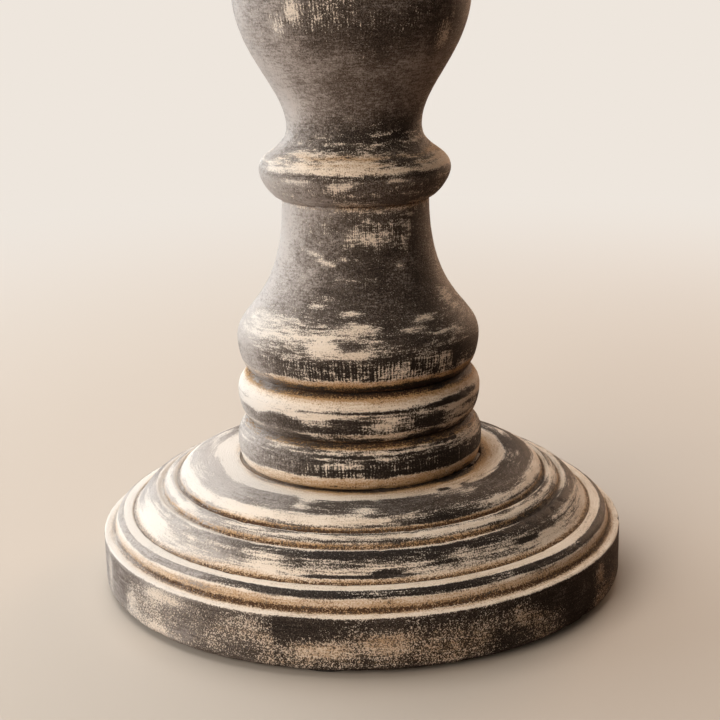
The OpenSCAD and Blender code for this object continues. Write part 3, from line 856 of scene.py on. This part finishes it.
def worn_iron(name):
    """Blackened steel with dull grey wear."""
    paint = Paint(name)
    patches = paint.noise(paint.place, 60.0, 4.0, 0.6)
    grain = paint.noise(paint.place, 900.0, 3.0, 0.6)
    wear = paint.step(patches + grain * 0.4, 0.02, 0.3)
    colour = paint.mix(wear, paint.colours.iron, paint.colours.worn_iron)
    roughness = 0.42 + grain * 0.25 + patches * 0.2
    return paint.finish(colour, roughness, grain + patches * 0.5, 0.12 * MM, metallic=0.85)


def plated_zinc(name):
    """Dull zinc plating with faint clouding."""
    paint = Paint(name)
    clouding = paint.noise(paint.place, 240.0, 3.0, 0.6)
    scratches = paint.noise(paint.place, 1800.0, 2.0, 0.6)
    colour = paint.mix(paint.step(clouding, -0.2, 0.2), paint.colours.zinc, paint.colours.dull_zinc)
    return paint.finish(colour, 0.38 + clouding * 0.25, scratches, 0.04 * MM, metallic=0.9)


def pressed_felt(name):
    """Dark felt with a matted nap."""
    paint = Paint(name)
    nap = paint.noise(paint.place, 2600.0, 3.0, 0.7, 0.6)
    tufts = paint.noise(paint.place, 500.0, 2.0, 0.6)
    colour = paint.mix(paint.step(nap + tufts * 0.5, -0.25, 0.25), paint.colours.felt, paint.colours.nap)
    return paint.finish(colour, 0.95 + nap * 0.05, nap + tufts * 0.4, 0.25 * MM)


class CANDLE_OT_base(bpy.types.Operator):
    """Turn the moulded base"""

    bl_idname = "candle.base"
    bl_label = "Base"

    def execute(self, context):
        settings = context.scene.candle_turning
        path = outline_of("base")
        low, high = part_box("base")

        def hidden(points):
            return (points[:, 0] < BASE_SOCKET) | (points[:, 1] < low.z + COARSE_TOUCH)

        outline = Outline(path, settings.base_step, hidden)
        arris = (high.x, max(z for r, z in path if r > high.x - COARSE_TOUCH))
        outline.measure_from(arris)
        piece = turn_piece("base_turned", outline, settings.base_segments, wood_paint())
        # On the lit side the film of dust and painted sheen thickens past the arris, over the upward faces;
        # ochre is taken off the plinth's side and near the stem, where it lightens the painted contact
        # shadow
        film = ((-1, 105), (1, 160))
        lit_side_ochre_loss = ((-3, 60), (0, 0), (42, 0), (46, 100))
        paint_mesh(piece, BASE_BANDS, BASE_MARKS, BASE_STREWN, seed=3,
                   dabbed=(-100, 1), film=film, lit_side_ochre_loss=lit_side_ochre_loss)
        seat(piece, "rubbed_wood", "base")
        return {"FINISHED"}


class CANDLE_OT_stem(bpy.types.Operator):
    """Turn the baluster stem"""

    bl_idname = "candle.stem"
    bl_label = "Stem"

    def execute(self, context):
        settings = context.scene.candle_turning
        path = outline_of("stem")
        outline = Outline(path, settings.stem_step, lambda points: points[:, 0] < STEM_SPIGOT)
        piece = turn_piece("stem_turned", outline, settings.stem_segments, wood_paint())
        # The film of dust and painted sheen on the lit side thins out up the stem
        film = ((125, 105), (145, 85), (165, 85), (185, 50))
        paint_mesh(piece, STEM_BANDS, STEM_MARKS, STEM_STREWN, seed=5, dabbed=(133, 178), film=film)
        seat(piece, "rubbed_wood", "stem")
        return {"FINISHED"}


class CANDLE_OT_dish(bpy.types.Operator):
    """Turn the candle dish"""

    bl_idname = "candle.dish"
    bl_label = "Candle dish"

    def execute(self, context):
        settings = context.scene.candle_turning
        path = outline_of("candle_dish")
        outline = Outline(path, settings.dish_step, lambda points: points[:, 0] < DISH_SOCKET)
        _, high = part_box("candle_dish")
        rim = (max(r for r, z in path if z > high.z - FINE_TOUCH), high.z)
        outline.measure_from(rim)
        piece = turn_piece("dish_turned", outline, settings.dish_segments, wood_paint())
        paint_mesh(piece, DISH_BANDS, (), DISH_STREWN, seed=7)
        seat(piece, "rubbed_wood", "candle_dish")
        return {"FINISHED"}


class CANDLE_OT_iron(bpy.types.Operator):
    """Spin the drip pan and forge the pricket"""

    bl_idname = "candle.iron"
    bl_label = "Drip pan and pricket"

    def execute(self, context):
        settings = context.scene.candle_turning
        iron = worn_iron("worn_iron")
        pieces = (("drip_pan", settings.dish_segments), ("pricket", settings.pricket_segments))
        for node, segments in pieces:
            outline = Outline(outline_of(node), settings.dish_step)
            piece = turn_piece(node + "_turned", outline, segments, iron, faults=METAL_FAULTS)
            seat(piece, "black_iron", node)
        return {"FINISHED"}


class CANDLE_OT_fixings(bpy.types.Operator):
    """Plate the screw and its washer"""

    bl_idname = "candle.fixings"
    bl_label = "Screw and washer"

    def execute(self, context):
        zinc = plated_zinc("zinc_plate")
        for node in ("base_screw", "base_washer"):
            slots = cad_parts[node].data.materials
            slots.clear()
            slots.append(zinc)
        return {"FINISHED"}


class CANDLE_OT_felt(bpy.types.Operator):
    """Cut the felt pads"""

    bl_idname = "candle.felt"
    bl_label = "Felt pads"

    def execute(self, context):
        settings = context.scene.candle_turning
        felt = pressed_felt("dark_felt")
        for node in sorted(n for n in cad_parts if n.startswith("felt_pad")):
            low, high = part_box(node)
            middle = (low + high) / 2
            path = outline_of(node, middle)
            outline = Outline(path, FELT_STEP, lambda points: points[:, 1] < FINE_TOUCH)
            centre = (middle.x, middle.y, 0.0)
            piece = turn_piece(node + "_cut", outline, settings.felt_segments, felt, centre)
            seat(piece, "felt", node)
        return {"FINISHED"}


# Soft lamps: name, place and size in metres, power in watts and colour
LAMPS = (
    ("left", (-1.5, 0.4, 0.4), (1.8, 0.7), 15.5, (0.67, 0.87, 1.0)),
    ("back_left", (-0.9, 1.2, 0.6), (1.2, 1.1), 8.5, (0.86, 0.94, 1.0)),
    ("overhead", (-0.4, 0.5, 1.7), (1.6, 1.6), 31.0, (1.0, 0.95, 0.9)),
    ("back_right", (0.95, 1.5, 0.4), (0.9, 0.9), 16.0, (1.0, 0.64, 0.42)),
    ("front_left", (-1.1, -1.2, 0.7), (1.2, 1.2), 26.0, (1.0, 0.88, 0.76)),
)
LAMP_TARGET = (0.0, 0.0, 0.1)

# The floor's mottle darkens it to this share; between these distances it fades into the backdrop
MOTTLE_SHARE = 0.97
FLOOR_FADE = (0.12, 0.75)

# Nearest distance that the camera sees
NEAR_LIMIT = 0.01


def soft_lamp(name, place, size, power, colour):
    """Lamp of a width and height that faces the piece and is not seen itself."""
    lamp = bpy.data.lights.new(name, "AREA")
    lamp.shape = "RECTANGLE"
    lamp.size, lamp.size_y = size
    lamp.energy = power
    lamp.color = colour
    holder = bpy.data.objects.new(name, lamp)
    holder.location = place
    holder.rotation_euler = (Vector(LAMP_TARGET) - Vector(place)).to_track_quat("-Z", "Y").to_euler()
    holder.visible_camera = False
    return holder


def pale_floor(settings):
    """Floor that fades into the plain backdrop away from the piece, and throws back a warm light."""
    paint = Paint("pale_floor")
    x, y, _ = paint.split(paint.place)
    mottle = paint.noise(paint.place, 3.0, 2.0)
    seen = paint.node("ShaderNodeLightPath", output="Is Camera Ray")
    darker = [channel * MOTTLE_SHARE for channel in settings.floor]
    shade = paint.mix(paint.step(mottle, -0.3, 0.3), settings.floor, darker)
    thrown = paint.mix(paint.step(y * 0.4 - x * 0.9, 0.0, 0.8), settings.bounce, settings.backdrop)
    paint.finish(paint.mix(seen, thrown, shade), 0.8 + mottle * 0.02, mottle, 0.01 * MM)
    glow = paint.node("ShaderNodeEmission", {"Color": (*settings.backdrop, 1.0)})
    away = paint.step((x * x + y * y).math("SQRT"), *FLOOR_FADE)
    surface = Value(paint, paint.surface.outputs[0])
    blend = paint.node("ShaderNodeMixShader", {0: away * seen, 1: surface, 2: glow})
    paint.tree.links.new(blend.socket, paint.tree.nodes["Material Output"].inputs["Surface"])
    return paint.material


def wide_floor(settings):
    """Flat square floor under the piece."""
    half = settings.floor_reach
    corners = [(-half, -half, 0), (half, -half, 0), (half, half, 0), (-half, half, 0)]
    mesh = bpy.data.meshes.new("floor")
    mesh.from_pydata(corners, [], [(0, 1, 2, 3)])
    mesh.materials.append(pale_floor(settings))
    return bpy.data.objects.new("floor", mesh)


def soft_daylight(settings):
    """World with an even light all round, in which the camera sees the plain backdrop."""
    world = bpy.data.worlds.new("daylight")
    world.use_nodes = True
    graph = Graph(world.node_tree)
    seen = graph.node("ShaderNodeLightPath", output="Is Camera Ray")
    daylight = {"Color": (*settings.daylight, 1.0), "Strength": settings.daylight_strength}
    light = graph.node("ShaderNodeBackground", daylight)
    backdrop = graph.node("ShaderNodeBackground", {"Color": (*settings.backdrop, 1.0)})
    sky = graph.node("ShaderNodeMixShader", {0: seen, 1: light, 2: backdrop})
    world.node_tree.links.new(sky.socket, world.node_tree.nodes["World Output"].inputs["Surface"])
    return world


def placed_camera(settings):
    """Camera in front of the piece that looks down on it."""
    lens = bpy.data.cameras.new("camera")
    lens.lens = settings.lens
    lens.clip_start = NEAR_LIMIT
    camera = bpy.data.objects.new("camera", lens)
    look = Euler((math.pi / 2 - settings.pitch, 0.0, -settings.yaw)).to_matrix()
    look = look @ Matrix.Rotation(settings.roll, 3, "Z")
    camera.matrix_world = Matrix.Translation((0.0, -settings.distance, settings.height)) @ look.to_4x4()
    return camera


class CANDLE_OT_stage(bpy.types.Operator):
    """Set the floor, the light and the camera"""

    bl_idname = "candle.stage"
    bl_label = "Stage"

    def execute(self, context):
        scene = context.scene
        settings = scene.candle_stage
        scene.view_settings.view_transform = "Standard"
        ground = wide_floor(settings)
        scene.collection.objects.link(ground)
        scene.world = soft_daylight(settings)
        for lamp in LAMPS:
            scene.collection.objects.link(soft_lamp(*lamp))
        camera = placed_camera(settings)
        scene.collection.objects.link(camera)
        scene.camera = camera
        return {"FINISHED"}


OPERATORS = (CANDLE_OT_base, CANDLE_OT_stem, CANDLE_OT_dish, CANDLE_OT_iron, CANDLE_OT_fixings,
             CANDLE_OT_felt, CANDLE_OT_stage)
SETTINGS = (
    ("candle_turning", TurningSettings),
    ("candle_finish", FinishSettings),
    ("candle_stage", StageSettings),
)


class CANDLE_PT_workshop(bpy.types.Panel):
    """Sidebar panel with the candlestick's pieces"""

    bl_idname = "CANDLE_PT_workshop"
    bl_label = "Candlestick"
    bl_space_type = "VIEW_3D"
    bl_region_type = "UI"
    bl_category = "Candlestick"

    def draw(self, context):
        for group, _ in SETTINGS:
            settings = getattr(context.scene, group)
            box = self.layout.box()
            for name in settings.__annotations__:
                box.prop(settings, name)
        for step in OPERATORS:
            self.layout.operator(step.bl_idname)


CLASSES = tuple(group for _, group in SETTINGS) + OPERATORS + (CANDLE_PT_workshop,)


def register():
    for kind in CLASSES:
        bpy.utils.register_class(kind)
    for name, group in SETTINGS:
        setattr(bpy.types.Scene, name, PointerProperty(type=group))


def unregister():
    for name, _ in SETTINGS:
        delattr(bpy.types.Scene, name)
    for kind in reversed(CLASSES):
        bpy.utils.unregister_class(kind)


def main():
    register()
    for step in OPERATORS:
        group, name = step.bl_idname.split(".")
        getattr(getattr(bpy.ops, group), name)()


if __name__ == "__main__":
    main()
